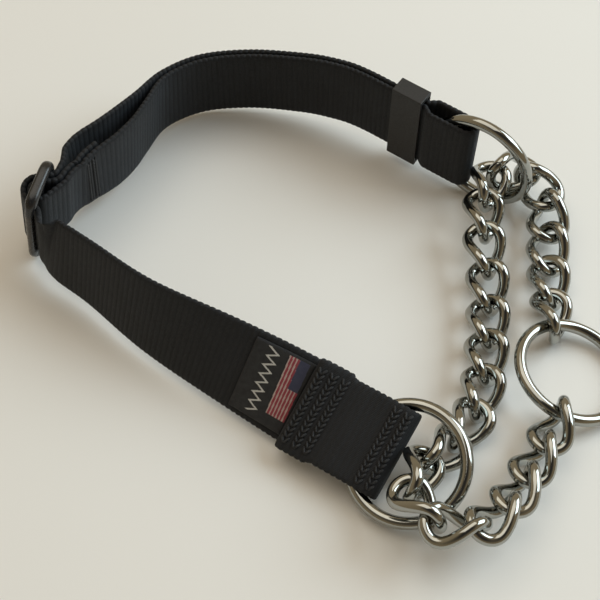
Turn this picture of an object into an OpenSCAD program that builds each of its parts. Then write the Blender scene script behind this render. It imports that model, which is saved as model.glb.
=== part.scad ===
// Martingale collar: a webbing strap with two rings, a keeper, a tri-glide slider and a closed curb chain
// with a control ring. It lies on a table, standing on the edge of its strap. Sizes are in mm, Z is up.

/* [Webbing] */
// Width of the webbing
webbing_w = 25.4; // [24.5:0.1:26.2]
// Thickness of the webbing
webbing_t = 1.7; // [1.5:0.05:1.8]
// Space between two plies that lie on each other
ply_gap = 0.2; // [0.15:0.05:0.3]

/* [Rings] */
// Wire of the three rings
ring_wire = 3.4; // [3.1:0.1:3.5]
// Inside diameter of the two strap rings
ring_id = 27.4; // [27.2:0.1:28]
// Inside diameter of the control ring
control_id = 27.4; // [26.5:0.1:28.5]

/* [Chain] */
// Wire of a chain link
link_wire = 3.1; // [2.8:0.1:3.2]
// Outside width of a chain link
link_w = 12.9; // [12.7:0.1:13.3]
// Play between one link and the next
link_play = 0.7; // [0.6:0.05:0.9]
// Twist of a link from end to end, in degrees
link_twist = 90; // [84:1:96]

/* [Slider] */
// Height of the slider across the webbing
slider_h = 34; // [33.2:0.1:35]
// Distance from the middle bar to each side bar
bar_pitch = 8.2; // [8.1:0.1:9]
// Diameter of the three bars
bar_d = 2.6; // [2.4:0.1:2.8]
// Depth of the slider's two end pieces
slider_d = 3.4; // [3.2:0.1:4]

/* [Keeper] */
// Length of the keeper along the strap
keeper_l = 12; // [10:0.5:12.5]
// Wall of the keeper
keeper_wall = 1.5; // [1.2:0.1:1.8]
// Room round the two plies inside the keeper
keeper_play = 0.4; // [0.3:0.05:0.5]

/* [Label and stitches] */
// Length of the woven label along the strap
label_l = 17; // [14:0.5:19]
// Thickness of the label
label_t = 0.6; // [0.4:0.1:0.8]
// Thread of the stitches
thread_d = 0.5; // [0.4:0.05:0.6]

/* [Hidden] */

black = [0.09, 0.09, 0.1];
steel = [0.75, 0.75, 0.73];

// Middle of the plan, so that the whole object stands over the origin
plan_mid = [4.8, -3.1, 0];

// Lay of the strap from the label end to the keeper end: x, y, height of its lower edge, lean inward and
// tilt along the strap in degrees
lay = [
    [20, -66, 2.6, 64, 0], [12, -60.7, 2.6, 64, 0], [3, -54.7, 2.6, 61, 0], [-22, -36.5, 2.6, 38, 0],
    [-44, -19.5, 2.6, 20, 0], [-61, -3.5, 3, 12, -2], [-72.5, 5.5, 3.8, 11, -6], [-79, 12.8, 4.6, 11, -8],
    [-78.2, 17.1, 5.2, 11, -8], [-77.2, 21.5, 5.8, 11, -8], [-76.1, 25.9, 6.4, 11, -8], [-75, 30.2, 7, 11, -8],
    [-69.5, 38.5, 6.6, 10, -4], [-61, 47, 5.2, 8, 0], [-53, 58, 3.4, 8, 0], [-44.5, 69, 2.4, 7, 0],
    [-32, 76, 2.4, 6, 0], [-16, 77, 3.2, 5, 0], [0, 73.8, 4.6, 4, 1], [10, 70.2, 5.6, 3, 2],
    [20, 65, 6.2, 3, 2], [37, 53.2, 5.5, 3, 2], [53, 42.1, 4.8, 3, 2]];
slider_knot = 9;

// Smooth curve through points
function smooth(p, u) = let(n = len(p) - 1, i = min(floor(u), n - 1), f = u - i, a = p[max(i - 1, 0)],
    b = p[i], c = p[i + 1], d = p[min(i + 2, n)])
    b + (c - a) * f / 2 + (2 * a - 5 * b + 4 * c - d) * f * f / 2 + (3 * b - a - 3 * c + d) * f * f * f / 2;
function curve(p, k) = [for (i = [0:(len(p) - 1) * k]) smooth(p, i / k)];
function first3(v) = [v[0], v[1], v[2]];
function lengths(c) = [for (i = 0, s = 0; i < len(c);
    s = s + norm(first3(c[min(i + 1, len(c) - 1)]) - first3(c[i])), i = i + 1) s];
function column(c, s, j) = [for (i = [0:len(c) - 1]) [s[i], c[i][j]]];
function unit(v) = v / norm(v);

spine = curve(lay, 10);
run = lengths(spine);
lay_x = column(spine, run, 0);
lay_y = column(spine, run, 1);
lay_z = column(spine, run, 2);
lay_lean = column(spine, run, 3);
lay_tilt = column(spine, run, 4);
s_end = run[len(run) - 1];
s_slider = run[slider_knot * 10];

// A place on the strap: s along it, o outward from its middle plane, h up from its lower edge
function clip(s) = min(max(s, 0), s_end);
function spot(s) = [lookup(s, lay_x), lookup(s, lay_y), lookup(s, lay_z)];
// The strap's axes stay the same on the length that lies in the slider
function steady(s) = let(d = s - s_slider, e = abs(d))
    e > 25 ? s : s_slider + sign(d) * max(e - 9, 0) * 25 / 16;
function along(s) = let(c = clip(steady(s)), d = spot(clip(c + 1.5)) - spot(clip(c - 1.5)))
    unit([d[0], d[1], 0]);
function inward(s) = let(a = along(s)) [a[1], -a[0], 0];
function lean(s) = lookup(steady(s), lay_lean);
function tilt(s) = lookup(steady(s), lay_tilt);
function across(s) = sin(lean(s)) * inward(s) + [0, 0, cos(lean(s))];
function upward(s) = cos(tilt(s)) * across(s) + sin(tilt(s)) * along(s);
function forward(s) = cos(tilt(s)) * along(s) - sin(tilt(s)) * across(s);
function outward(s) = -cos(lean(s)) * inward(s) + [0, 0, sin(lean(s))];
function place(s, o, h) = spot(clip(s)) + (s - clip(s)) * along(s) + o * outward(s) + h * upward(s) - plan_mid;

// Local axes on the strap: x along it, y outward, z up across it
module on_strap(s, o = 0, h = 0) {
    a = forward(s);
    n = outward(s);
    u = upward(s);
    p = place(s, o, h);
    multmatrix([[a[0], n[0], u[0], p[0]], [a[1], n[1], u[1], p[1]], [a[2], n[2], u[2], p[2]], [0, 0, 0, 1]])
        children();
}

// The way of the webbing in strap lengths and offsets, from its sewn end to its hem
ply = webbing_t + ply_gap;
bar_r = bar_d / 2;
near = bar_r + ply_gap + 0.35 + webbing_t / 2;
over = near + ply;
far = near + 2 * ply;
ring_r = (ring_id + ring_wire) / 2;
half_pocket = (ring_wire + 0.7 + webbing_t) / 2;
reach = ring_r + ring_wire / 2;
pocket = reach - 2.5 + 0.7;
fold_in = half_pocket + webbing_t / 2;
// Where the slider's straight side bars stand over the bent strap
function rise(d) = (spot(s_slider) + d * forward(s_slider) - spot(s_slider + d)) * outward(s_slider + d);
far_bar = [s_slider + bar_pitch, rise(bar_pitch)];
mid_bar = [s_slider, 0];
near_bar = [s_slider - bar_pitch, rise(-bar_pitch)];
far_a = atan2(far_bar[1], bar_pitch);
near_a = atan2(near_bar[1], bar_pitch);
far_cross = far_a + acos((near + over) / norm(far_bar - mid_bar));
near_cross = near_a + acos((near + over) / norm(near_bar - mid_bar));
leave_a = 180 + far_a + acos((far - near) / norm(far_bar - mid_bar));
function bend(c, r, a, b) = let(k = ceil(abs(b - a) / 24)) [for (i = [0:k])
    c + r * [cos(a + (b - a) * i / k), sin(a + (b - a) * i / k)]];
function level(a, b, o) = let(k = ceil(abs(b - a) / 2.5)) [for (i = [0:k]) [a + (b - a) * i / k, o]];
inner_o = -7.7;
tail_o = inner_o + ply + 0.12;
o_key = -ply / 2;
o_label = ply;
way = concat(
    [[s_slider + 25, tail_o], [s_slider + 20, tail_o], [s_slider + 15, tail_o]],
    [[s_slider + 11.5, -over - 0.5]],
    bend(far_bar, over, 270, 180 + far_cross),
    bend(mid_bar, near, far_cross, leave_a),
    bend(far_bar, far, leave_a, 270),
    [[s_slider + 11.5, inner_o + 0.4]],
    level(s_slider + 15, s_slider + 25, inner_o),
    curve([[s_slider + 30, -7.4], [s_slider + 38, -6.2], [s_slider + 46, -4.2], [s_slider + 54, -2.5],
        [s_slider + 61, -ply]], 2),
    level(s_slider + 66, s_end - pocket - 2.5, -ply),
    [[s_end - pocket - 1.2, (o_key - half_pocket - ply) / 2]],
    level(s_end - pocket, s_end - fold_in - 1, o_key - half_pocket),
    bend([s_end - fold_in, o_key], half_pocket, -90, 90),
    level(s_end - fold_in - 1, s_end - pocket, o_key + half_pocket),
    [[s_end - pocket - 1.2, (o_key + half_pocket) / 2]],
    level(s_end - pocket - 2.5, s_slider + 22, 0),
    [[s_slider + 17, -0.5], [s_slider + 12.5, -2]],
    bend(far_bar, near, 270, 180 + far_cross),
    bend(mid_bar, over, far_cross, 180 - near_cross),
    bend(near_bar, near, 360 - near_cross, 270),
    [[s_slider - 12.5, -2], [s_slider - 17, -0.5]],
    level(s_slider - 22, pocket + 6, 0),
    [[pocket + 3, (o_label - half_pocket) / 2]],
    level(pocket, fold_in + 1, o_label - half_pocket),
    bend([fold_in, o_label], half_pocket, 270, 90),
    level(fold_in + 1, pocket, o_label + half_pocket),
    [[pocket + 3, (o_label + half_pocket + 2 * ply) / 2]],
    level(pocket + 6, pocket + 14, 2 * ply),
    bend([pocket + 14, 1.5 * ply], ply / 2, 90, -90),
    [[pocket + 10, ply], [pocket + 6, ply]]);

module strap() {
    n = len(way);
    side = [for (i = [0:n - 1]) let(d = way[min(i + 1, n - 1)] - way[max(i - 1, 0)])
        unit([-d[1], d[0]]) * webbing_t / 2];
    points = [for (i = [0:n - 1]) for (c = [[1, 0], [1, webbing_w], [-1, webbing_w], [-1, 0]])
        let(q = way[i] + c[0] * side[i]) place(q[0], q[1], c[1])];
    walls = [for (i = [0:n - 2]) for (j = [0:3]) let(k = (j + 1) % 4)
        each [[4 * i + j, 4 * i + 4 + k, 4 * i + k], [4 * i + j, 4 * i + 4 + j, 4 * i + 4 + k]]];
    m = 4 * n - 4;
    ends = [[0, 1, 2], [0, 2, 3], [m, m + 2, m + 1], [m, m + 3, m + 2]];
    color(black) polyhedron(points, concat(walls, ends));
}

// Woven label on the outside of the lower run, its end against the hem
label_s = pocket + 14 + ply / 2 + webbing_t / 2 + 0.4;
module label() {
    k = 10;
    low = webbing_t / 2 + 0.25;
    points = [for (i = [0:k]) for (c = [[low, 2], [low, webbing_w - 2], [low + label_t, webbing_w - 2],
        [low + label_t, 2]]) place(label_s + label_l * i / k, c[0], c[1])];
    walls = [for (i = [0:k - 1]) for (j = [0:3]) let(q = (j + 1) % 4)
        each [[4 * i + j, 4 * i + q, 4 * i + 4 + q], [4 * i + j, 4 * i + 4 + q, 4 * i + 4 + j]]];
    m = 4 * k;
    color([0.16, 0.16, 0.2]) polyhedron(points, concat(walls, [[0, 2, 1], [0, 3, 2], [m, m + 1, m + 2],
        [m, m + 2, m + 3]]));
}

// One row of stitches across the webbing
module stitch_row(s, o) {
    count = 7;
    gap = (webbing_w - 4) / count;
    for (i = [0:count - 1])
        on_strap(s, o, 2 + gap * (i + 0.18))
            cylinder(d = thread_d, h = gap * 0.64, $fn = 16);
}

module tab_stitches() {
    lift = webbing_t / 2 + thread_d / 2 + 0.2;
    color(black) {
        stitch_row(pocket + 8, 2 * ply + lift);
        stitch_row(pocket + 11, 2 * ply + lift);
        stitch_row(pocket - 5, o_label + half_pocket + lift);
        stitch_row(pocket - 8, o_label + half_pocket + lift);
    }
}

module loop_stitches() {
    lift = webbing_t / 2 + thread_d / 2 + 0.35;
    color(black) {
        stitch_row(s_slider + 17, inner_o - lift);
        stitch_row(s_slider + 20, inner_o - lift);
    }
}

// Rectangle with cut corners
module plate(x0, x1, y0, y1, c) {
    polygon([[x0 + c, y0], [x1 - c, y0], [x1, y0 + c], [x1, y1 - c], [x1 - c, y1], [x0 + c, y1], [x0, y1 - c],
        [x0, y0 + c]]);
}

// Sleeve that slides on the two plies
keeper_s = s_end - pocket - 3 - keeper_l / 2;
module keeper() {
    y0 = -ply - webbing_t / 2 - keeper_play;
    y1 = webbing_t / 2 + keeper_play;
    z0 = -keeper_play;
    z1 = webbing_w + keeper_play;
    w = keeper_wall;
    color([0.2, 0.2, 0.21]) on_strap(keeper_s)
        translate([-keeper_l / 2, 0, 0]) rotate([90, 0, 90]) linear_extrude(keeper_l) difference() {
            plate(y0 - w, y1 + w, z0 - w, z1 + w, 0.8);
            plate(y0, y1, z0, z1, 0.3);
        }
}

// Tri-glide with three round bars between two end pieces
module slider() {
    end_h = (slider_h - webbing_w) / 2 - 0.8;
    z0 = (webbing_w - slider_h) / 2;
    x1 = bar_pitch + bar_r + 0.2;
    color(black) on_strap(s_slider) {
        for (x = [-bar_pitch, 0, bar_pitch])
            translate([x, 0, z0 + 0.5]) cylinder(d = bar_d, h = slider_h - 1, $fn = 40);
        for (z = [z0, z0 + slider_h - end_h])
            translate([0, 0, z]) linear_extrude(end_h) plate(-x1, x1, -slider_d / 2, slider_d / 2, 1);
    }
}

// Round ring whose plane holds the strap's length and width
module ring_at(s, o) {
    a = forward(s);
    n = outward(s);
    u = upward(s);
    p = place(s, o, webbing_w / 2);
    multmatrix([[u[0], a[0], n[0], p[0]], [u[1], a[1], n[1], p[1]], [u[2], a[2], n[2], p[2]], [0, 0, 0, 1]])
        rotate_extrude($fn = 72) translate([ring_r, 0]) circle(d = ring_wire, $fn = 32);
}

module ring_label_end() color(steel) ring_at(-2.5, o_label);

module ring_keeper_end() color(steel) ring_at(s_end + 2.5, o_key);

// Control ring, tilted so that its side towards the strap is raised
control_r = (control_id + ring_wire) / 2;
control_tilt = 14;
control_mid = [75.5, -28, control_r * sin(control_tilt) + ring_wire / 2];
function control_point(a, r) = control_mid
    + r * [cos(a) * cos(control_tilt), sin(a), -cos(a) * sin(control_tilt)];

module control_ring() {
    color(steel) translate(control_mid - plan_mid) rotate([0, control_tilt, 0])
        rotate_extrude($fn = 72) translate([control_r, 0]) circle(d = ring_wire, $fn = 32);
}

// Way of the chain: x, y, z and roll of the links in degrees, from the control ring round to it again
hold = (link_wire + ring_wire) / 2 + 0.5;
start = control_point(104, control_r);
stop = control_point(248, control_r - hold);
chain_way = [
    [start[0], start[1], start[2], 50],
    [72.4, -1, 5.3, 27], [73, 10, 5.5, 6], [74, 20, 6.2, -15], [75.8, 29.5, 7.6, -34],
    [71.4, 39.4, 8.6, -44], [61.7, 42.8, 10.8, -38], [56, 32.5, 11.8, -36], [54.2, 20, 10.9, -30],
    [54.6, 8, 7.8, -24], [54, -6, 5.6, -18], [52.4, -20, 5.6, -18], [50.4, -32, 5.8, -24],
    [47.2, -42, 6.2, -36], [41, -51, 7.2, -50], [33.4, -57.7, 9.7, -60], [27.6, -66.4, 12.7, -52],
    [32, -76.6, 14.3, -38], [44, -78.4, 13.7, -32], [53, -70.4, 10.9, -36], [59, -61, 7.8, -44],
    [65, -52, 6.7, -45],
    [stop[0], stop[1], stop[2], -45]];
links = 22;
chain = curve(chain_way, 16);
chain_run = lengths(chain);
chain_l = chain_run[len(chain_run) - 1];
pitch = chain_l / links;
chain_cols = [for (j = [0:3]) column(chain, chain_run, j)];
function pivot(i) = [for (j = [0:2]) lookup(i * pitch, chain_cols[j])];
function roll(i) = lookup((i + 0.5) * pitch, chain_cols[3]);

// One twisted link: a long round loop whose two ends stand across each other
link_a = (pitch + link_wire + link_play) / 2;
link_b = (link_w - link_wire) / 2;
flat_l = link_a - link_b;
loop = concat([for (a = [-90:22.5:90]) [flat_l + link_b * cos(a), link_b * sin(a)]],
    [for (f = [0.5, 0, -0.5]) [flat_l * f, link_b]],
    [for (a = [90:22.5:270]) [-flat_l + link_b * cos(a), link_b * sin(a)]],
    [for (f = [-0.5, 0, 0.5]) [flat_l * f, -link_b]]);
function turn(x) = -link_twist / 2 * sin(90 * x / link_a);
function wire_point(p) = [p[0], p[1] * cos(turn(p[0])), p[1] * sin(turn(p[0]))];

module link_body() {
    n = len(loop);
    sides = 8;
    mid = [for (p = loop) wire_point(p)];
    points = [for (i = [0:n - 1]) let(t = unit(mid[(i + 1) % n] - mid[(i + n - 1) % n]), q = turn(loop[i][0]),
        u = unit(cross(t, [0, -sin(q), cos(q)])), v = cross(t, u)) for (k = [0:sides - 1])
        mid[i] + link_wire / 2 * (cos(45 * k) * u + sin(45 * k) * v)];
    faces = [for (i = [0:n - 1]) for (k = [0:sides - 1]) let(i2 = (i + 1) % n, k2 = (k + 1) % sides)
        let(a = sides * i + k, b = sides * i2 + k2) each [[a, b, sides * i + k2], [a, sides * i2 + k, b]]];
    polyhedron(points, faces);
}

// A link between two pivots of the way, with its end on the second one
module chain_link(i) {
    p = pivot(i);
    q = pivot(i + 1);
    t = unit(q - p);
    y = unit(cross([0, 0, 1], t));
    z = cross(t, y);
    m = q - link_a * t - plan_mid;
    color(steel)
        multmatrix([[t[0], y[0], z[0], m[0]], [t[1], y[1], z[1], m[1]], [t[2], y[2], z[2], m[2]], [0, 0, 0, 1]])
            rotate([roll(i), 0, 0]) link_body();
}

module link_01() chain_link(0);

module link_02() chain_link(1);

module link_03() chain_link(2);

module link_04() chain_link(3);

module link_05() chain_link(4);

module link_06() chain_link(5);

module link_07() chain_link(6);

module link_08() chain_link(7);

module link_09() chain_link(8);

module link_10() chain_link(9);

module link_11() chain_link(10);

module link_12() chain_link(11);

module link_13() chain_link(12);

module link_14() chain_link(13);

module link_15() chain_link(14);

module link_16() chain_link(15);

module link_17() chain_link(16);

module link_18() chain_link(17);

module link_19() chain_link(18);

module link_20() chain_link(19);

module link_21() chain_link(20);

module link_22() chain_link(21);

strap();
label();
tab_stitches();
loop_stitches();
keeper();
slider();
ring_label_end();
ring_keeper_end();
control_ring();
link_01();
link_02();
link_03();
link_04();
link_05();
link_06();
link_07();
link_08();
link_09();
link_10();
link_11();
link_12();
link_13();
link_14();
link_15();
link_16();
link_17();
link_18();
link_19();
link_20();
link_21();
link_22();
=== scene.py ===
# %% [markdown]
# # A martingale collar
# The collar is a black webbing strap with a steel ring in each end, a plastic keeper and slider, and a closed
# curb chain with a control ring. The imported model is the fixed frame. Every piece made here
# lies where its solid lies and moves with the same body, so only shape and finish are made new here.

# %% Load the frame
import math

import bmesh
import bpy
import numpy as np
from mathutils import Matrix, Vector


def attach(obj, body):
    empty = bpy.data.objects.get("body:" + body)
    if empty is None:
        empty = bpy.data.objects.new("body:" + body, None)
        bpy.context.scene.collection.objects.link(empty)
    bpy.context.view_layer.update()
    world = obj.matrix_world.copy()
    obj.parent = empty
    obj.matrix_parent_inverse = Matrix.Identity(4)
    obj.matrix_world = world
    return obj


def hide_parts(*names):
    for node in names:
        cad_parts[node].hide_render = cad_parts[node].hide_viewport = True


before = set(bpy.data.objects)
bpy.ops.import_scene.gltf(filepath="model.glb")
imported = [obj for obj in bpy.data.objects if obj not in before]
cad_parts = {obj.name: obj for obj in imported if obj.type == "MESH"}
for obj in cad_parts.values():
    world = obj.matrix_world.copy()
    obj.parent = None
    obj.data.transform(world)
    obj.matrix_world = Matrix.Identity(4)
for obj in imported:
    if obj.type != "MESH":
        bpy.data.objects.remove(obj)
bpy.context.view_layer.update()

MM = 0.001

# %% [markdown]
# ## Camera
# The photo looks down at the table from the front, 55 degrees above it, with a lens twice as long as the
# picture is wide. The camera aims at the middle of the picture, a little beside the middle of the collar.

# %% Camera
LOOK_AT = Vector((-4.8, 3.1, 0)) * MM
CAMERA_RANGE = 353 * MM
CAMERA_RISE = math.radians(55)

camera_data = bpy.data.cameras.new("camera")
camera_data.sensor_width = 36
camera_data.lens = 72
camera_data.clip_start = 10 * MM
camera = bpy.data.objects.new("camera", camera_data)
bpy.context.scene.collection.objects.link(camera)
to_camera = Vector((0, -math.cos(CAMERA_RISE), math.sin(CAMERA_RISE)))
camera.location = LOOK_AT + to_camera * CAMERA_RANGE
camera.rotation_mode = "QUATERNION"
camera.rotation_quaternion = (-to_camera).to_track_quat("-Z", "Y")
bpy.context.scene.camera = camera
print("Camera at", [round(v / MM, 1) for v in camera.location], "mm")

# %% [markdown]
# ## Helpers for node finishes
# A finish is a Principled shader with a few procedural nodes in front of it. Colour, roughness and bump vary
# over the surface through nodes, and a value that is the same everywhere is set on the shader's own socket.

# %% Finish helpers
def new_finish(name, base, roughness, **sockets):
    finish = bpy.data.materials.new(name)
    finish.use_nodes = True
    shader = finish.node_tree.nodes["Principled BSDF"]
    shader.inputs["Base Color"].default_value = (*base, 1)
    shader.inputs["Roughness"].default_value = roughness
    for socket, value in sockets.items():
        shader.inputs[socket.replace("_", " ")].default_value = value
    return finish, finish.node_tree, shader


def calc(tree, operation, *values):
    node = tree.nodes.new("ShaderNodeMath")
    node.operation = operation
    for socket, value in zip(node.inputs, values):
        if isinstance(value, (int, float)):
            socket.default_value = value
        else:
            tree.links.new(value, socket)
    return node.outputs[0]


def noise(tree, scale, detail=3.0, roughness=0.55, vector=None):
    node = tree.nodes.new("ShaderNodeTexNoise")
    node.inputs["Scale"].default_value = scale
    node.inputs["Detail"].default_value = detail
    node.inputs["Roughness"].default_value = roughness
    if vector is None:
        vector = tree.nodes.new("ShaderNodeTexCoord").outputs["Object"]
    tree.links.new(vector, node.inputs["Vector"])
    return node.outputs["Fac"]


def span(tree, value, low, high, new_low, new_high):
    node = tree.nodes.new("ShaderNodeMapRange")
    for socket, number in zip(("From Min", "From Max", "To Min", "To Max"), (low, high, new_low, new_high)):
        node.inputs[socket].default_value = number
    tree.links.new(value, node.inputs["Value"])
    return node.outputs["Result"]


def two_colours(tree, factor, first, second):
    node = tree.nodes.new("ShaderNodeMix")
    node.data_type = "RGBA"
    node.inputs["A"].default_value = (*first, 1)
    node.inputs["B"].default_value = (*second, 1)
    tree.links.new(factor, node.inputs["Factor"])
    return node.outputs["Result"]


def tint(tree, shader, factor, first, second):
    tree.links.new(two_colours(tree, factor, first, second), shader.inputs["Base Color"])


def vary_roughness(tree, shader, factor, low, high, least, most):
    tree.links.new(span(tree, factor, low, high, least, most), shader.inputs["Roughness"])


def bump(tree, shader, height, distance, strength=1.0):
    node = tree.nodes.new("ShaderNodeBump")
    node.inputs["Distance"].default_value = distance
    node.inputs["Strength"].default_value = strength
    tree.links.new(height, node.inputs["Height"])
    tree.links.new(node.outputs["Normal"], shader.inputs["Normal"])


def cloth_axes(tree, name):
    source = tree.nodes.new("ShaderNodeAttribute")
    source.attribute_name = name
    split = tree.nodes.new("ShaderNodeSeparateXYZ")
    tree.links.new(source.outputs["Vector"], split.inputs["Vector"])
    return split.outputs["X"], split.outputs["Y"], split.outputs["Z"]


print("Finish helpers ready")

# %% [markdown]
# ## Table and light
# The collar lies on a plain off-white table. A large cool window on the right draws soft shadows to the left, a
# weaker warm lamp overhead opens them, and a warm room fills the rest. Polished steel shows whatever is round
# it, so the room is a smooth gradation, paler at the back and dark where the photographer stands.

# %% Table
TABLE_SIDE = 40.0
table_finish, tree, shader = new_finish("table_finish", (0.81, 0.80, 0.77), 0.75, Specular_IOR_Level=0.2)
mottle = noise(tree, 6, 4)
tint(tree, shader, mottle, (0.805, 0.795, 0.765), (0.835, 0.825, 0.80))
vary_roughness(tree, shader, noise(tree, 240, 2), 0.3, 0.7, 0.68, 0.85)
bump(tree, shader, noise(tree, 900, 3), 0.02 * MM, 0.3)

table_mesh = bpy.data.meshes.new("table")
half = TABLE_SIDE / 2
table_corners = [(-half, -half, 0), (half, -half, 0), (half, half, 0), (-half, half, 0)]
table_mesh.from_pydata(table_corners, [], [(0, 1, 2, 3)])
table_mesh.materials.append(table_finish)
table = bpy.data.objects.new("table", table_mesh)
bpy.context.scene.collection.objects.link(table)
print("Table", TABLE_SIDE, "m wide")

# %% Lamps
def soft_lamp(name, stand, size, power, colour):
    lamp = bpy.data.lights.new(name, "AREA")
    lamp.shape = "RECTANGLE"
    lamp.size, lamp.size_y = size
    lamp.energy = power
    lamp.color = colour
    holder = bpy.data.objects.new(name, lamp)
    holder.location = stand
    holder.rotation_mode = "QUATERNION"
    holder.rotation_quaternion = (-Vector(stand)).to_track_quat("-Z", "Y")
    bpy.context.scene.collection.objects.link(holder)
    return holder


COOL, WARM = (0.76, 0.91, 1.0), (1.0, 0.95, 0.86)
window = soft_lamp("window", (0.95, 0.25, 0.74), (0.95, 0.85), 12.4, COOL)
ceiling = soft_lamp("ceiling", (-0.15, 0.2, 1.1), (1.0, 1.0), 4.1, WARM)
print("Window of", window.data.energy, "W and ceiling of", ceiling.data.energy, "W")

# %% Room
ROOM_FRONT, ROOM_BACK, DARK_PLACE = (0.32, 0.25, 0.155), (0.45, 0.36, 0.235), (0.05, 0.045, 0.04)

world = bpy.data.worlds.new("room")
world.use_nodes = True
bpy.context.scene.world = world
tree = world.node_tree
sky = tree.nodes.new("ShaderNodeTexCoord").outputs["Generated"]
split = tree.nodes.new("ShaderNodeSeparateXYZ")
tree.links.new(sky, split.inputs["Vector"])
depth = span(tree, split.outputs["Y"], -0.7, 0.8, 0.0, 1.0)
room = two_colours(tree, depth, ROOM_FRONT, ROOM_BACK)
towards = tree.nodes.new("ShaderNodeVectorMath")
towards.operation = "DOT_PRODUCT"
towards.inputs[1].default_value = to_camera
tree.links.new(sky, towards.inputs[0])
shade = tree.nodes.new("ShaderNodeMix")
shade.data_type = "RGBA"
shade.inputs["B"].default_value = (*DARK_PLACE, 1)
tree.links.new(span(tree, towards.outputs["Value"], 0.70, 0.96, 0.0, 1.0), shade.inputs["Factor"])
tree.links.new(room, shade.inputs["A"])
tree.links.new(shade.outputs["Result"], tree.nodes["Background"].inputs["Color"])
tree.nodes["Background"].inputs["Strength"].default_value = 1.0
bpy.context.scene.view_settings.view_transform = "Standard"
print("Room lit, dark towards the camera")

# %% [markdown]
# ## Way of the strap
# The strap stands on its edge and leans inward more and more towards the label end. Listed points give
# its lower edge, its lean and its tilt, and a smooth curve runs through them. A place on the strap is then
# said in its own terms: how far along, how far outward and how far up from the lower edge. The direction is
# taken over ten millimetres, so that the strap turns smoothly beside the slider.

# %% Lay of the strap
PLAN_MID = np.array([4.8, -3.1, 0])
WEBBING_W, WEBBING_T, PLY_GAP = 25.4, 1.7, 0.2
LAY = [
    [20, -66, 2.6, 64, 0], [12, -60.7, 2.6, 64, 0], [3, -54.7, 2.6, 61, 0], [-22, -36.5, 2.6, 38, 0],
    [-44, -19.5, 2.6, 20, 0], [-61, -3.5, 3, 12, -2], [-72.5, 5.5, 3.8, 11, -6], [-79, 12.8, 4.6, 11, -8],
    [-78.2, 17.1, 5.2, 11, -8], [-77.2, 21.5, 5.8, 11, -8], [-76.1, 25.9, 6.4, 11, -8], [-75, 30.2, 7, 11, -8],
    [-69.5, 38.5, 6.6, 10, -4], [-61, 47, 5.2, 8, 0], [-53, 58, 3.4, 8, 0], [-44.5, 69, 2.4, 7, 0],
    [-32, 76, 2.4, 6, 0], [-16, 77, 3.2, 5, 0], [0, 73.8, 4.6, 4, 1], [10, 70.2, 5.6, 3, 2],
    [20, 65, 6.2, 3, 2], [37, 53.2, 5.5, 3, 2], [53, 42.1, 4.8, 3, 2]]
SLIDER_KNOT, KNOT_STEPS = 9, 10
STRAIGHT_HALF, TURN_HALF, DIRECTION_REACH = 9, 25, 5


def smooth_curve(points, steps):
    p = np.array(points, float)
    n = len(p) - 1
    u = np.arange(n * steps + 1) / steps
    i = np.minimum(u.astype(int), n - 1)
    f = (u - i)[:, None]
    a, b, c, d = p[np.maximum(i - 1, 0)], p[i], p[i + 1], p[np.minimum(i + 2, n)]
    return b + (c - a) * f / 2 + (2 * a - 5 * b + 4 * c - d) * f**2 / 2 + (3 * b - a - 3 * c + d) * f**3 / 2


def run_lengths(curve):
    return np.concatenate([[0], np.cumsum(np.linalg.norm(np.diff(curve, axis=0), axis=1))])


def unit(v):
    return v / np.linalg.norm(v, axis=-1, keepdims=True)


spine = smooth_curve(LAY, KNOT_STEPS)
spine_run = run_lengths(spine[:, :3])
S_END = spine_run[-1]
S_SLIDER = spine_run[SLIDER_KNOT * KNOT_STEPS]
print("Strap", round(S_END, 1), "mm from ring to ring, slider at", round(S_SLIDER, 1))

# %% Places on the strap
def spot(s):
    return np.stack([np.interp(s, spine_run, spine[:, j]) for j in range(3)], -1)


# Beside the slider the strap keeps its direction, and makes up for it a little further on
def steady(s):
    d = np.asarray(s, float) - S_SLIDER
    turned = np.maximum(np.abs(d) - STRAIGHT_HALF, 0) * TURN_HALF / (TURN_HALF - STRAIGHT_HALF)
    return np.where(np.abs(d) > TURN_HALF, s, S_SLIDER + np.sign(d) * turned)


def along(s):
    c = np.clip(steady(s), 0, S_END)
    ahead, behind = np.clip(c + DIRECTION_REACH, 0, S_END), np.clip(c - DIRECTION_REACH, 0, S_END)
    return unit((spot(ahead) - spot(behind)) * [1, 1, 0])


def strap_axes(s):
    a = along(s)
    inward = np.stack([a[..., 1], -a[..., 0], 0 * a[..., 0]], -1)
    lean = np.radians(np.interp(steady(s), spine_run, spine[:, 3]))[..., None]
    tilt = np.radians(np.interp(steady(s), spine_run, spine[:, 4]))[..., None]
    z = np.array([0, 0, 1.0])
    across = np.sin(lean) * inward + np.cos(lean) * z
    upward = np.cos(tilt) * across + np.sin(tilt) * a
    forward = np.cos(tilt) * a - np.sin(tilt) * across
    outward = -np.cos(lean) * inward + np.sin(lean) * z
    return forward, outward, upward


def place(s, o, h):
    s, o, h = (np.asarray(v, float)[..., None] for v in (s, o, h))
    _, outward, upward = strap_axes(s[..., 0])
    held = np.clip(s, 0, S_END)
    return (spot(held[..., 0]) + (s - held) * along(s[..., 0]) + o * outward + h * upward - PLAN_MID) * MM


print("Lower edge at the slider, in mm:", [round(float(v), 1) for v in place(S_SLIDER, 0, 0) / MM])

# %% [markdown]
# The webbing is one long band. It starts under the sewn loop at the slider's middle bar, runs inside to the
# keeper-end ring, round it and back through the slider, then to the label-end ring, round that and into a
# folded hem. The whole way is one line in strap lengths and outward offsets.

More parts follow.
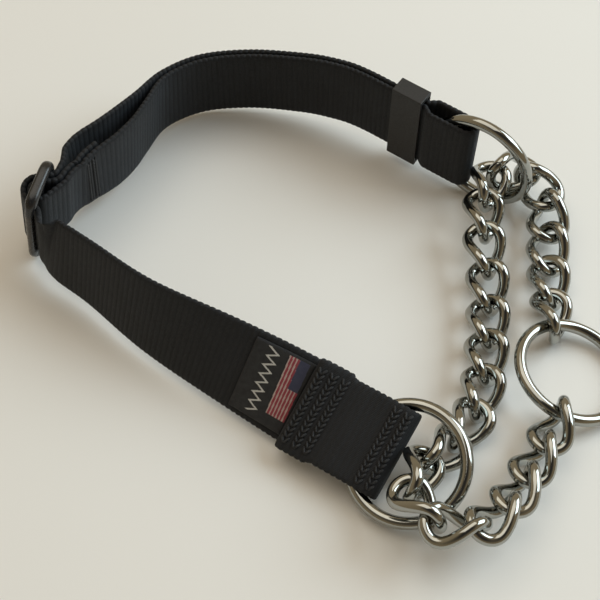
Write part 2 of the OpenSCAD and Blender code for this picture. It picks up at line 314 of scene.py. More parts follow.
# %% Plies and pockets
BAR_PITCH, BAR_D, BAR_PLAY = 8.2, 2.6, 0.35
RING_WIRE, RING_ID, RING_PLAY = 3.4, 27.4, 0.7
POCKET_SHORT, TAIL_GAP = 1.8, 0.12
PLY = WEBBING_T + PLY_GAP
NEAR = BAR_D / 2 + PLY_GAP + BAR_PLAY + WEBBING_T / 2
OVER, FAR = NEAR + PLY, NEAR + 2 * PLY
HALF_POCKET = (RING_WIRE + RING_PLAY + WEBBING_T) / 2
POCKET = (RING_ID + RING_WIRE) / 2 + RING_WIRE / 2 - POCKET_SHORT
FOLD_IN = HALF_POCKET + WEBBING_T / 2
INNER_O = -7.7
TAIL_O = INNER_O + PLY + TAIL_GAP
O_KEY, O_LABEL = -PLY / 2, PLY


def rise(d):
    forward, _, _ = strap_axes(S_SLIDER)
    _, outward, _ = strap_axes(S_SLIDER + d)
    return float((spot(S_SLIDER) + d * forward - spot(S_SLIDER + d)) @ outward)


def bend(centre, r, a, b):
    angle = np.radians(np.linspace(a, b, int(abs(b - a) / 5) + 2))
    return np.array(centre) + r * np.stack([np.cos(angle), np.sin(angle)], -1)


def level(a, b, o):
    s = np.linspace(a, b, int(abs(b - a) / 0.5) + 2)
    return np.stack([s, np.full_like(s, o)], -1)


print("Plies", PLY, "mm apart, pockets", round(2 * HALF_POCKET, 1), "mm deep")

# %% Way of the webbing
far_bar, mid_bar = np.array([S_SLIDER + BAR_PITCH, rise(BAR_PITCH)]), np.array([S_SLIDER, 0])
near_bar = np.array([S_SLIDER - BAR_PITCH, rise(-BAR_PITCH)])
far_reach, near_reach = np.linalg.norm(far_bar - mid_bar), np.linalg.norm(near_bar - mid_bar)
far_a = math.degrees(math.atan2(far_bar[1], BAR_PITCH))
near_a = math.degrees(math.atan2(near_bar[1], BAR_PITCH))
far_cross = far_a + math.degrees(math.acos((NEAR + OVER) / far_reach))
near_cross = near_a + math.degrees(math.acos((NEAR + OVER) / near_reach))
leave_a = 180 + far_a + math.degrees(math.acos((FAR - NEAR) / far_reach))
step_down = [[S_SLIDER + x, o] for x, o in ((30, -7.4), (38, -6.2), (46, -4.2), (54, -2.5), (61, -PLY))]
way = np.vstack([
    level(S_SLIDER + 25, S_SLIDER + 15, TAIL_O),
    [[S_SLIDER + 11.5, -OVER - 0.5]],
    bend(far_bar, OVER, 270, 180 + far_cross),
    bend(mid_bar, NEAR, far_cross, leave_a),
    bend(far_bar, FAR, leave_a, 270),
    [[S_SLIDER + 11.5, INNER_O + 0.4]],
    level(S_SLIDER + 15, S_SLIDER + 25, INNER_O),
    smooth_curve(step_down, 8),
    level(S_SLIDER + 66, S_END - POCKET - 2.5, -PLY),
    [[S_END - POCKET - 1.2, (O_KEY - HALF_POCKET - PLY) / 2]],
    level(S_END - POCKET, S_END - FOLD_IN - 1, O_KEY - HALF_POCKET),
    bend([S_END - FOLD_IN, O_KEY], HALF_POCKET, -90, 90),
    level(S_END - FOLD_IN - 1, S_END - POCKET, O_KEY + HALF_POCKET),
    [[S_END - POCKET - 1.2, (O_KEY + HALF_POCKET) / 2]],
    level(S_END - POCKET - 2.5, S_SLIDER + 22, 0),
    [[S_SLIDER + 17, -0.5], [S_SLIDER + 12.5, -2]],
    bend(far_bar, NEAR, 270, 180 + far_cross),
    bend(mid_bar, OVER, far_cross, 180 - near_cross),
    bend(near_bar, NEAR, 360 - near_cross, 270),
    [[S_SLIDER - 12.5, -2], [S_SLIDER - 17, -0.5]],
    level(S_SLIDER - 22, POCKET + 6, 0),
    [[POCKET + 3, (O_LABEL - HALF_POCKET) / 2]],
    level(POCKET, FOLD_IN + 1, O_LABEL - HALF_POCKET),
    bend([FOLD_IN, O_LABEL], HALF_POCKET, 270, 90),
    level(FOLD_IN + 1, POCKET, O_LABEL + HALF_POCKET),
    [[POCKET + 3, (O_LABEL + HALF_POCKET + 2 * PLY) / 2]],
    level(POCKET + 6, POCKET + 14, 2 * PLY),
    bend([POCKET + 14, 1.5 * PLY], PLY / 2, 90, -90),
    level(POCKET + 14, POCKET + 6, PLY)])


def even_steps(line, step):
    line = line[np.concatenate([[True], np.linalg.norm(np.diff(line, axis=0), axis=1) > 1e-6])]
    run = run_lengths(line)
    count = int(round(run[-1] / step))
    at = np.linspace(0, run[-1], count + 1)
    return np.stack([np.interp(at, run, line[:, j]) for j in range(line.shape[1])], -1)


def ease(line, step, reach):
    k = np.arange(-int(3 * reach / step), int(3 * reach / step) + 1)
    weight = np.exp(-0.5 * (k * step / reach) ** 2)
    weight /= weight.sum()
    first, last = 2 * line[0] - line[len(k) // 2:0:-1], 2 * line[-1] - line[-2:-len(k) // 2 - 1:-1]
    padded = np.vstack([first, line, last])
    return np.stack([np.convolve(padded[:, j], weight, "valid") for j in range(line.shape[1])], -1)


WAY_STEP, WAY_EASE = 0.1, 0.5
fine_way = ease(even_steps(way, WAY_STEP), WAY_STEP, WAY_EASE)
print("Webbing is", round(run_lengths(fine_way)[-1]), "mm long in all")

# %% [markdown]
# ## Webbing
# Nylon webbing of this kind has ribs straight across it, each one a row of lengthwise yarns that dip under the
# weft between two ribs. A bump map alone would leave the edge a straight line, so the ribs and the scalloped
# edge are real geometry: a rounded section swept along the way, thinner in each valley. The yarns within a
# rib are far finer, and a bump from stored cloth coordinates is enough for those.

# %% Webbing finish
YARN = 0.42
webbing_finish, tree, shader = new_finish(
    "webbing_finish", (0.008, 0.0085, 0.010), 0.72, Sheen_Weight=0.06, Sheen_Roughness=0.45,
    Sheen_Tint=(0.75, 0.88, 1.0, 1.0), Specular_IOR_Level=0.4)
rib, yarn, _ = cloth_axes(tree, "weave")
shift = calc(tree, "MULTIPLY", calc(tree, "FLOORED_MODULO", calc(tree, "FLOOR", rib), 2.0), 0.5)
yarn_turn = calc(tree, "MULTIPLY", calc(tree, "ADD", yarn, shift), math.pi)
round_yarn = calc(tree, "ABSOLUTE", calc(tree, "SINE", yarn_turn))
crest = calc(tree, "ABSOLUTE", calc(tree, "SINE", calc(tree, "MULTIPLY", rib, math.pi)))
fuzz = noise(tree, 2600, 3)
height = calc(tree, "ADD", calc(tree, "MULTIPLY", round_yarn, crest), calc(tree, "MULTIPLY", fuzz, 0.5))
bump(tree, shader, height, 0.09 * MM, 0.8)
wear = span(tree, noise(tree, 60, 4), 0.35, 0.7, 0.2, 1.0)
# Random wear, and painted shade in the grooves between the yarns, both darken the webbing colour
wear_and_yarn_shade = calc(tree, "MULTIPLY", span(tree, round_yarn, 0.0, 1.0, 0.6, 1.0), wear)
tint(tree, shader, wear_and_yarn_shade, (0.0033, 0.0038, 0.0050), (0.0088, 0.0100, 0.0132))
vary_roughness(tree, shader, fuzz, 0.3, 0.7, 0.62, 0.85)
print("Webbing yarns", YARN, "mm apart")

# %% Mesh helpers
def add_piece(name, verts, faces, finish, body, slot, *nodes, smooth=True):
    mesh = bpy.data.meshes.new(name)
    mesh.from_pydata(np.asarray(verts).tolist(), [], faces)
    mesh.materials.append(finish)
    piece = bpy.data.objects.new(name, mesh)
    bpy.context.scene.collection.objects.link(piece)
    shell = bmesh.new()
    shell.from_mesh(mesh)
    bmesh.ops.recalc_face_normals(shell, faces=shell.faces)
    shell.to_mesh(mesh)
    shell.free()
    if smooth:
        mesh.shade_smooth()
    else:
        mesh.shade_flat()
    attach(piece, body)
    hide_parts(*nodes)
    return piece


def keep_axes(piece, name, values):
    store = piece.data.attributes.new(name, "FLOAT_VECTOR", "POINT")
    store.data.foreach_set("vector", np.asarray(values, np.float32).ravel())


def tube_faces(rows, around, closed=False):
    faces = []
    for i in range(rows if closed else rows - 1):
        a, b = i * around, (i + 1) % rows * around
        faces += [(a + j, a + (j + 1) % around, b + (j + 1) % around, b + j) for j in range(around)]
    if not closed:
        faces += [tuple(range(around))[::-1], tuple(range((rows - 1) * around, rows * around))]
    return faces


print("Mesh helpers ready")

# %% Webbing mesh
RIB_PITCH, RIB_DEPTH, STEPS_A_RIB = 1.75, 0.1, 8
EDGE_BAND, EDGE_SCALLOP = 1, 0.42
HEM_FLARE, HEM_FROM, HEM_RAMP = 0.9, POCKET + 4.5, 2

face_h = [0.5, 1.3, 3, 6, 9.3, 12.7, 16.1, 19.4, 22.4, 24.1, 24.9]
face_c = [0.86, 0.97, 1, 1, 1, 1, 1, 1, 1, 0.97, 0.86]
edge_h, edge_c = [25.3, 25.4, 25.3], [0.5, 0, -0.5]
section_h = np.array(face_h + edge_h + face_h[::-1] + [WEBBING_W - h for h in edge_h])
section_c = np.array(face_c + edge_c + [-c for c in face_c[::-1]] + [-c for c in edge_c])

stations = even_steps(fine_way, RIB_PITCH / STEPS_A_RIB)
middle_line = place(stations[:, 0], stations[:, 1], np.full(len(stations), WEBBING_W / 2)) / MM
heading = unit(np.gradient(stations, axis=0))
side = np.stack([-heading[:, 1], heading[:, 0]], -1)
rib_at = run_lengths(middle_line) / RIB_PITCH
shown = rib_at[:, None] + np.where(section_c < 0, 0.5, 0.0)[None, :]
valley = 1 - np.sqrt(np.abs(np.sin(math.pi * shown)))
edge_valley = 1 - np.sqrt(np.abs(np.sin(math.pi * rib_at)))[:, None]
half_t = section_c * (WEBBING_T / 2) - np.sign(section_c) * RIB_DEPTH * valley * (np.abs(section_c) > 0.6)
from_edge = np.minimum(section_h, WEBBING_W - section_h)
towards_middle = np.where(section_h > WEBBING_W / 2, -1, 1)
scallop = np.where(from_edge < EDGE_BAND, EDGE_SCALLOP, 0.0) * edge_valley * towards_middle
after_fold = np.arange(len(stations)) > np.argmin(stations[:, 0])
hem_flare = HEM_FLARE * after_fold * np.clip((stations[:, 0] - HEM_FROM) / HEM_RAMP, 0, 1)
across_at = section_h + scallop + hem_flare[:, None] * (2 * section_h / WEBBING_W - 1)
strap_s = stations[:, :1] + side[:, :1] * half_t
strap_o = stations[:, 1:] + side[:, 1:] * half_t
strap_points = place(strap_s, strap_o, across_at)
webbing_strap = add_piece(
    "webbing_strap", strap_points.reshape(-1, 3), tube_faces(len(stations), len(section_h)),
    webbing_finish, "strap", "webbing", "strap")
weave = np.stack([shown, across_at / YARN, np.broadcast_to(section_c, shown.shape)], -1)
keep_axes(webbing_strap, "weave", weave)
print("Webbing with", int(rib_at[-1]), "ribs and", len(webbing_strap.data.polygons), "faces")

# %% [markdown]
# ## Stitches
# The hem and the fold at the label-end ring are sewn with rows of black thread, and so is the loop at the
# slider. The rows run in pairs whose stitches slant against each other like a braid. A stitch shows as a short
# thread that rises out of the cloth and dips into it again, so each one is a small arched tube, and takes its
# twist from its stored coordinates.

# %% Thread finish
TWISTS_A_MM, STRANDS = 1.6, 2
thread_finish, tree, shader = new_finish(
    "thread_finish", (0.012, 0.012, 0.014), 0.45, Sheen_Weight=0.05, Sheen_Roughness=0.4)
length_at, turn_at, _ = cloth_axes(tree, "twist")
strand_turn = calc(tree, "ADD", calc(tree, "MULTIPLY", length_at, TWISTS_A_MM), turn_at)
strand = calc(tree, "SINE", calc(tree, "MULTIPLY", strand_turn, 2 * STRANDS * math.pi))
bump(tree, shader, strand, 0.06 * MM, 0.7)
shade = span(tree, strand, -1, 1, 0, 1)
tint(tree, shader, shade, (0.006, 0.0065, 0.008), (0.020, 0.021, 0.024))
vary_roughness(tree, shader, noise(tree, 900, 2), 0.3, 0.7, 0.42, 0.62)
print("Thread finish ready")

# %% Stitch rows
THREAD_D, STITCH_LENGTH, STITCH_SLANT, STITCH_LIFT, ROW_MARGIN = 0.7, 1.8, 0.95, 0.32, 1.5
PAIR_GAP, PAIR_PITCH, STITCHES_A_ROW = 1.15, 3.3, 14
THREAD_STEPS = 9


def stitch_row(s, o, out, slant):
    starts = np.linspace(ROW_MARGIN, WEBBING_W - ROW_MARGIN - STITCH_LENGTH, STITCHES_A_ROW)
    t = np.linspace(0, 1, THREAD_STEPS)
    lift = STITCH_LIFT * np.sin(math.pi * t) - STITCH_LIFT / 2
    run = s + slant * STITCH_SLANT * (t - 0.5)
    return [place(run, o + out * lift, h + STITCH_LENGTH * t) for h in starts]


def stitch_pairs(first, count, top, out):
    rows = []
    for k in range(count):
        for slant in (-1, 1):
            s = first + PAIR_PITCH * k + PAIR_GAP / 2 * slant
            rows += stitch_row(s, top(s), out, slant)
    return rows


print("Rows of", STITCHES_A_ROW, "stitches, in pairs", PAIR_PITCH, "mm apart")

# %% Thread tubes
THREAD_SIDES, THREAD_TIP, THREAD_SWELL = 8, 0.45, 1.6


def thread_tubes(lines):
    verts, faces, twist = [], [], []
    for line in lines:
        ahead = unit(np.gradient(line, axis=0))
        u = unit(np.cross(ahead, [0.31, 0.52, 0.79]))
        v = np.cross(ahead, u)
        t = np.linspace(0, 1, len(line))
        swell = np.sqrt(np.clip(4 * t * (1 - t) * THREAD_SWELL, 0, 1))
        r = THREAD_D / 2 * MM * (THREAD_TIP + (1 - THREAD_TIP) * swell)
        angle = np.arange(THREAD_SIDES) * 2 * math.pi / THREAD_SIDES
        ring = np.cos(angle)[None, :, None] * u[:, None] + np.sin(angle)[None, :, None] * v[:, None]
        base = len(verts) * len(line) * THREAD_SIDES
        verts.append(line[:, None] + r[:, None, None] * ring)
        faces += [tuple(base + k for k in face) for face in tube_faces(len(line), THREAD_SIDES)]
        mesh_t, mesh_a = np.meshgrid(t * STITCH_LENGTH, angle / (2 * math.pi), indexing="ij")
        twist.append(np.stack([mesh_t, mesh_a, 0 * mesh_t], -1))
    return np.concatenate(verts).reshape(-1, 3), faces, np.concatenate(twist).reshape(-1, 3)


def sew(name, lines, node):
    verts, faces, twist = thread_tubes(lines)
    piece = add_piece(name, verts, faces, thread_finish, "strap", "thread", node)
    keep_axes(piece, "twist", twist)
    print(name, "has", len(lines), "stitches")


print("Thread", THREAD_D, "mm thick")

# %% Sewing
HEM_PAIRS, FOLD_PAIRS, LOOP_PAIRS = 3, 2, 2


def hem_top(s):
    return 2 * PLY + WEBBING_T / 2


def fold_top(s):
    return O_LABEL + math.sqrt(FOLD_IN**2 - max(FOLD_IN - s, 0) ** 2)


def loop_top(s):
    return INNER_O - WEBBING_T / 2


hem_rows = stitch_pairs(POCKET + 6.7, HEM_PAIRS, hem_top, 1)
fold_rows = stitch_pairs(2.6, FOLD_PAIRS, fold_top, 1)
loop_rows = stitch_pairs(S_SLIDER + 17.6, LOOP_PAIRS, loop_top, -1)
sew("hem_and_fold_stitches", hem_rows + fold_rows, "tab_stitches")
sew("slider_loop_stitches", loop_rows, "loop_stitches")

# %% [markdown]
# ## Label
# A small damask-woven label lies on the lower run against the hem. It is dark, with fine red and white
# stripes, a navy corner and a plain white zigzag band. A damask label is drawn by its yarns, one small cell at
# a time, so the label is a fine grid whose cells take their colour from where they lie.

# %% Label finish
label_finish, tree, shader = new_finish(
    "label_finish", (0.02, 0.02, 0.03), 0.6, Sheen_Weight=0.05, Sheen_Roughness=0.4)
colour = tree.nodes.new("ShaderNodeAttribute")
colour.attribute_name = "yarn_colour"
pick, end, _ = cloth_axes(tree, "pick")
wave = calc(tree, "MULTIPLY", calc(tree, "SINE", calc(tree, "MULTIPLY", pick, math.pi)),
            calc(tree, "SINE", calc(tree, "MULTIPLY", end, math.pi)))
bump(tree, shader, wave, 0.08 * MM, 0.7)
dust = tree.nodes.new("ShaderNodeMix")
dust.data_type = "RGBA"
dust.blend_type = "MULTIPLY"
dust.inputs["Factor"].default_value = 0.35
tree.links.new(colour.outputs["Color"], dust.inputs["A"])
tree.links.new(two_colours(tree, noise(tree, 1500, 2), (0.55, 0.55, 0.55), (1, 1, 1)), dust.inputs["B"])
tree.links.new(dust.outputs["Result"], shader.inputs["Base Color"])
vary_roughness(tree, shader, noise(tree, 700, 2), 0.3, 0.7, 0.5, 0.7)
print("Label finish ready")

# %% Label pattern
DARK, WHITE = (0.006, 0.0065, 0.0085), (0.62, 0.62, 0.6)
RED, CREAM, NAVY = (0.30, 0.03, 0.05), (0.50, 0.38, 0.35), (0.035, 0.04, 0.085)


def label_colour(u, v):
    # u runs along the strap from the hem, v up across it, and the weave sits a little askew
    u -= 0.055 * (v - 10.7)
    stripe_from, stripe_to, low, high, period = 0.8, 6.6, 3.6, 20.6, 0.97
    if stripe_from <= u < stripe_to and low <= v < high:
        if u < 3.7 and v > 12.2:
            return NAVY
        return RED if (u - stripe_from) % period < 0.6 * period else CREAM
    zigzag_mid, swing, wave_l, line_w = 10.8, 1.4, 2.7, 0.5
    if 1.6 <= v < 20.6:
        phase = (v - 1.6) / wave_l % 1
        if abs(u - zigzag_mid - swing * (4 * abs(phase - 0.5) - 1)) < line_w:
            return WHITE
    return DARK


print("Label in", len({DARK, WHITE, RED, CREAM, NAVY}), "yarn colours")

# %% Label mesh
LABEL_L, LABEL_T, LABEL_MARGIN, CELL = 17.0, 0.6, 2.0, 0.16
LABEL_LIFT, RIM_DROP, RIM_REACH = 0.25, 0.3, 0.25
LABEL_S = POCKET + 14 + PLY / 2 + WEBBING_T / 2 + 0.4
LABEL_LOW, LABEL_HIGH = LABEL_MARGIN, WEBBING_W - LABEL_MARGIN

cells_u, cells_v = int(LABEL_L / CELL), int((LABEL_HIGH - LABEL_LOW) / CELL)
u_at, v_at = np.linspace(0, LABEL_L, cells_u + 1), np.linspace(0, LABEL_HIGH - LABEL_LOW, cells_v + 1)
grid_u, grid_v = np.meshgrid(u_at, v_at, indexing="ij")
rim = np.minimum(np.minimum(grid_u, LABEL_L - grid_u), np.minimum(grid_v, v_at[-1] - grid_v))
label_o = WEBBING_T / 2 + LABEL_LIFT + LABEL_T - RIM_DROP * np.exp(-rim / RIM_REACH)
front = place(LABEL_S + grid_u, label_o, LABEL_LOW + grid_v).reshape(-1, 3)
back = place(LABEL_S + grid_u, np.full_like(grid_u, WEBBING_T / 2 - 0.05), LABEL_LOW + grid_v).reshape(-1, 3)
wide, count = cells_v + 1, len(front)
quads = [(i * wide + j, (i + 1) * wide + j, (i + 1) * wide + j + 1, i * wide + j + 1)
         for i in range(cells_u) for j in range(cells_v)]
border = ([(i, 0) for i in range(cells_u)] + [(cells_u, j) for j in range(cells_v)]
          + [(i, cells_v) for i in range(cells_u, 0, -1)] + [(0, j) for j in range(cells_v, 0, -1)])
border = [i * wide + j for i, j in border]
walls = [(a, b, b + count, a + count) for a, b in zip(border, border[1:] + border[:1])]
backs = [tuple(count + k for k in quad[::-1]) for quad in quads]
label_faces = quads + backs + walls
woven_label = add_piece(
    "woven_label", np.concatenate([front, back]), label_faces, label_finish, "strap", "label", "label")
picks = np.stack([grid_u / CELL, grid_v / CELL, 0 * grid_u], -1).reshape(-1, 3)
keep_axes(woven_label, "pick", np.concatenate([picks, picks]))
print("Label mesh of", len(label_faces), "faces")

# %% Label colours
cell_colour = [label_colour((i + 0.5) * CELL, (j + 0.5) * CELL) for i in range(cells_u) for j in range(cells_v)]
store = woven_label.data.attributes.new("yarn_colour", "FLOAT_COLOR", "CORNER")
for face in woven_label.data.polygons:
    yarn_colour = cell_colour[face.index] if face.index < len(cell_colour) else DARK
    for corner in face.loop_indices:
        store.data[corner].color = (*yarn_colour, 1)
print("Label of", len(cell_colour), "cells")

# %% [markdown]
# ## Keeper and slider
# The keeper is a thin sleeve of matte plastic with crisp edges. A bevel takes the razor edge off it. The slider
# is a glossy moulding, a frame with rounded corners and a middle bar that flows into it, so the two are joined
# by a voxel remesh and smoothed.

# %% Plastic finishes
keeper_finish, tree, shader = new_finish("keeper_finish", (0.02, 0.02, 0.021), 0.55)
grain = noise(tree, 1800, 3)
bump(tree, shader, grain, 0.03 * MM, 0.5)
vary_roughness(tree, shader, grain, 0.3, 0.7, 0.48, 0.66)
tint(tree, shader, noise(tree, 90, 4), (0.014, 0.014, 0.0145), (0.021, 0.021, 0.0215))

slider_finish, tree, shader = new_finish("slider_finish", (0.012, 0.012, 0.013), 0.22)
scuff = noise(tree, 420, 5, 0.7)
bump(tree, shader, scuff, 0.02 * MM, 0.35)
vary_roughness(tree, shader, scuff, 0.35, 0.75, 0.16, 0.42)
tint(tree, shader, noise(tree, 120, 4), (0.010, 0.010, 0.011), (0.018, 0.018, 0.019))
print("Keeper and slider finishes ready")

# %% Keeper
KEEPER_FROM, KEEPER_L, KEEPER_SHIFT = S_END - POCKET - 13.2, 10.2, 0.9
KEEPER_PLAY, KEEPER_ROOM, KEEPER_SIDE, KEEPER_CAP, KEEPER_BEVEL = 0.3, 0.4, 0.8, 1.5, 0.28
inner_o = np.array([-PLY - WEBBING_T / 2 - KEEPER_PLAY, WEBBING_T / 2 + KEEPER_PLAY])
inner_h = np.array([-KEEPER_ROOM, WEBBING_W + KEEPER_ROOM])
outer_o, outer_h = inner_o + [-KEEPER_SIDE, KEEPER_SIDE], inner_h + [-KEEPER_CAP, KEEPER_CAP]
keeper_s = KEEPER_FROM + KEEPER_L / 2 - KEEPER_SHIFT
forward, outward, upward = strap_axes(keeper_s)
keeper_mid = (spot(keeper_s) + KEEPER_SHIFT * forward - PLAN_MID) * MM
corners = [(0, 0), (1, 0), (1, 1), (0, 1)]
verts = [keeper_mid + MM * (x * forward + o[i] * outward + h[j] * upward)
         for x in (-KEEPER_L / 2, KEEPER_L / 2)
         for o, h in ((outer_o, outer_h), (inner_o, inner_h)) for i, j in corners]
faces = []
for k in range(4):
    n = (k + 1) % 4
    faces += [(k, n, n + 8, k + 8), (4 + n, 4 + k, 12 + k, 12 + n)]
    faces += [(k, 4 + k, 4 + n, n), (8 + n, 12 + n, 12 + k, 8 + k)]
keeper_sleeve = add_piece(
    "keeper_sleeve", verts, faces, keeper_finish, "keeper", "keeper", "keeper", smooth=False)
edge = keeper_sleeve.modifiers.new("soft_edge", "BEVEL")
edge.width = KEEPER_BEVEL * MM
edge.segments = 3
edge.limit_method = "ANGLE"
edge.angle_limit = math.radians(30)
edge.harden_normals = True
print("Keeper", KEEPER_L, "mm along the strap,", round(float(outer_o[1] - outer_o[0]), 1), "mm thick")

# %% Slider frame
SLIDER_H, SLIDER_D = 34.0, 3.4
CORNER_R, RIM_W, RIM_SIDES = 4.6, 3.1, 24
END_FROM, END_RAMP, END_SQUARE = 13, 1.5, 0.3
turn = np.radians(np.linspace(0, 90, 12))
quarter = np.stack([np.cos(turn), np.sin(turn)], -1)
hub = np.array([BAR_PITCH - CORNER_R, SLIDER_H / 2 - RIM_W / 2 - CORNER_R])
corner_at = hub + CORNER_R * quarter
rim = np.vstack([corner_at, [-1, 1] * corner_at[::-1], -corner_at, [1, -1] * corner_at[::-1]])
rim_out = np.vstack([quarter, [-1, 1] * quarter[::-1], -quarter, [1, -1] * quarter[::-1]])
at_end = np.clip((np.abs(rim[:, 1]) - END_FROM) / END_RAMP, 0, 1)[:, None]
turn = np.arange(RIM_SIDES) * 2 * math.pi / RIM_SIDES
squarer = 1 - END_SQUARE * at_end
reach = (BAR_D / 2 + (RIM_W - BAR_D) / 2 * at_end) * np.sign(np.cos(turn)) * np.abs(np.cos(turn)) ** squarer
thick = (BAR_D / 2 + (SLIDER_D - BAR_D) / 2 * at_end) * np.sign(np.sin(turn)) * np.abs(np.sin(turn)) ** squarer
rim_along = rim[:, :1] + rim_out[:, :1] * reach
rim_up = WEBBING_W / 2 + rim[:, 1:] + rim_out[:, 1:] * reach
rim_points = np.stack([rim_along, thick, rim_up], -1)
print("Slider frame", SLIDER_H, "mm high, rounded to", CORNER_R, "mm")

# %% Slider moulding
VOXEL, SMOOTH_SHARE, SMOOTH_ROUNDS = 0.24, 0.5, 6

shell = bmesh.new()
corners = [shell.verts.new(v) for v in rim_points.reshape(-1, 3)]
for face in tube_faces(len(rim), RIM_SIDES, closed=True):
    shell.faces.new([corners[k] for k in face])
bmesh.ops.recalc_face_normals(shell, faces=shell.faces)
bmesh.ops.create_cone(shell, cap_ends=True, segments=32, radius1=BAR_D / 2, radius2=BAR_D / 2,
                      depth=SLIDER_H - RIM_W, matrix=Matrix.Translation((0, 0, WEBBING_W / 2)))
rough_mesh = bpy.data.meshes.new("slider_rough")
shell.to_mesh(rough_mesh)
shell.free()
rough_slider = bpy.data.objects.new("slider_rough", rough_mesh)
bpy.context.scene.collection.objects.link(rough_slider)
voxels = rough_slider.modifiers.new("join", "REMESH")
voxels.mode, voxels.voxel_size = "VOXEL", VOXEL
soften = rough_slider.modifiers.new("soften", "SMOOTH")
soften.factor, soften.iterations = SMOOTH_SHARE, SMOOTH_ROUNDS
joined = bpy.data.meshes.new_from_object(rough_slider.evaluated_get(bpy.context.evaluated_depsgraph_get()))
bpy.data.objects.remove(rough_slider)
points = np.array([v.co for v in joined.vertices])
forward, outward, upward = strap_axes(S_SLIDER)
centre = (spot(S_SLIDER) - PLAN_MID) * MM
points = centre + MM * (points[:, :1] * forward + points[:, 1:2] * outward + points[:, 2:] * upward)
faces = [tuple(face.vertices) for face in joined.polygons]
add_piece("moulded_slider", points, faces, slider_finish, "slider", "slider", "slider")
print("Slider of", len(faces), "faces")

# %% [markdown]
# ## Steel
# The rings and the chain are bright plated steel. A mirror with no flaw looks like a drawing, so fine noise
# varies its roughness, and a very small bump bends the reflections as hand-polished wire does.

# %% Steel finish
steel_finish, tree, shader = new_finish("steel_finish", (0.35, 0.354, 0.33), 0.12, Metallic=1.0)
polish = noise(tree, 520, 4, 0.6)
vary_roughness(tree, shader, polish, 0.3, 0.75, 0.04, 0.14)
bump(tree, shader, noise(tree, 260, 2), 0.04 * MM, 0.25)
tint(tree, shader, noise(tree, 140, 3), (0.29, 0.294, 0.272), (0.41, 0.415, 0.39))
for node in ("ring_label_end", "ring_keeper_end", "control_ring"):
    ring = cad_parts[node]
    ring.data.materials.clear()
    ring.data.materials.append(steel_finish)
    ring.data.shade_smooth()
print("Three rings plated")

# %% [markdown]
# A curb link is a long round loop of wire that is twisted a quarter turn from end to end, so that the chain
# lies flat. Each link is swept from that loop, and stands between two pivots of the chain's way with its own
# roll. The way and the rolls are the ones that the solids have.

# %% Way of the chain
LINKS, LINK_WIRE, LINK_W, LINK_PLAY, LINK_TWIST = 22, 3.1, 12.9, 0.7, -90
CONTROL_R, CONTROL_TILT = RING_ID / 2 + RING_WIRE / 2, math.radians(14)
CONTROL_MID = np.array([75.5, -28, CONTROL_R * math.sin(CONTROL_TILT) + RING_WIRE / 2])


def control_point(angle, r):
    a = math.radians(angle)
    lean = np.array([math.cos(CONTROL_TILT), 0, -math.sin(CONTROL_TILT)])
    return CONTROL_MID + r * (math.cos(a) * lean + math.sin(a) * np.array([0, 1, 0]))


chain_way = [
    [*control_point(104, CONTROL_R), 50],
    [72.4, -1, 5.3, 27], [73, 10, 5.5, 6], [74, 20, 6.2, -15], [75.8, 29.5, 7.6, -34],
    [71.4, 39.4, 8.6, -44], [61.7, 42.8, 10.8, -38], [56, 32.5, 11.8, -36], [54.2, 20, 10.9, -30],
    [54.6, 8, 7.8, -24], [54, -6, 5.6, -18], [52.4, -20, 5.6, -18], [50.4, -32, 5.8, -24],
    [47.2, -42, 6.2, -36], [41, -51, 7.2, -50], [33.4, -57.7, 9.7, -60], [27.6, -66.4, 12.7, -52],
    [32, -76.6, 14.3, -38], [44, -78.4, 13.7, -32], [53, -70.4, 10.9, -36], [59, -61, 7.8, -44],
    [65, -52, 6.7, -45],
    [*control_point(248, CONTROL_R - (LINK_WIRE + RING_WIRE) / 2 - 0.5), -45]]
chain = smooth_curve(chain_way, 16)
chain_run = run_lengths(chain[:, :3])
PITCH = chain_run[-1] / LINKS


def chain_at(distance):
    return np.array([np.interp(distance, chain_run, chain[:, j]) for j in range(4)])


print("Chain of", LINKS, "links,", round(PITCH, 2), "mm apart")

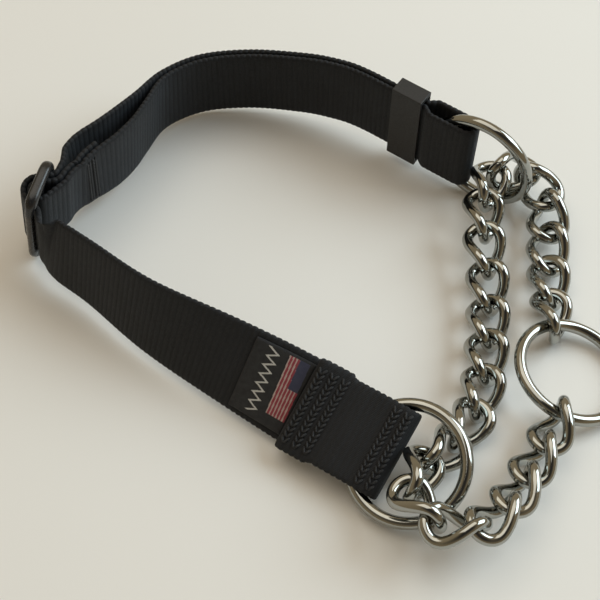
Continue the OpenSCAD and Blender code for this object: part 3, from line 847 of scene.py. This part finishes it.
# %% Link
LINK_A, LINK_B = (PITCH + LINK_WIRE + LINK_PLAY) / 2, (LINK_W - LINK_WIRE) / 2
FLAT_L = LINK_A - LINK_B
WIRE_SIDES, WIRE_SHOWN = 20, 1.04


def link_loop():
    turn = np.radians(np.linspace(-90, 90, 25))
    side_x = np.linspace(FLAT_L, -FLAT_L, 13)[1:-1]
    right = np.stack([FLAT_L + LINK_B * np.cos(turn), LINK_B * np.sin(turn)], -1)
    top = np.stack([side_x, np.full_like(side_x, LINK_B)], -1)
    return np.vstack([right, top, -right, -top])


loop = link_loop()
twist = np.radians(LINK_TWIST / 2) * np.sin(math.pi / 2 * loop[:, 0] / LINK_A)
wire = np.stack([loop[:, 0], loop[:, 1] * np.cos(twist), loop[:, 1] * np.sin(twist)], -1)
ahead = unit(np.roll(wire, -1, 0) - np.roll(wire, 1, 0))
wire_u = unit(np.cross(ahead, np.stack([0 * twist, -np.sin(twist), np.cos(twist)], -1)))
wire_v = np.cross(ahead, wire_u)
angle = np.arange(WIRE_SIDES) * 2 * math.pi / WIRE_SIDES
wire_ring = np.cos(angle)[None, :, None] * wire_u[:, None] + np.sin(angle)[None, :, None] * wire_v[:, None]
link_points = (wire[:, None] + WIRE_SHOWN * LINK_WIRE / 2 * wire_ring).reshape(-1, 3)
link_faces = tube_faces(len(loop), WIRE_SIDES, closed=True)
print("Link", round(2 * LINK_A + LINK_WIRE, 1), "mm long outside")

# %% Chain
for i in range(LINKS):
    begin, end = chain_at(i * PITCH), chain_at((i + 1) * PITCH)
    t = unit(end[:3] - begin[:3])
    y = unit(np.cross([0, 0, 1], t))
    z = np.cross(t, y)
    roll = math.radians(chain_at((i + 0.5) * PITCH)[3])
    y, z = math.cos(roll) * y + math.sin(roll) * z, math.cos(roll) * z - math.sin(roll) * y
    middle = end[:3] - LINK_A * t - PLAN_MID
    points = middle + link_points[:, :1] * t + link_points[:, 1:2] * y + link_points[:, 2:] * z
    node = f"link_{i + 1:02d}"
    add_piece(f"curb_{node}", points * MM, link_faces, steel_finish, node, "chrome", node)
print("Chain dressed,", LINKS, "links")
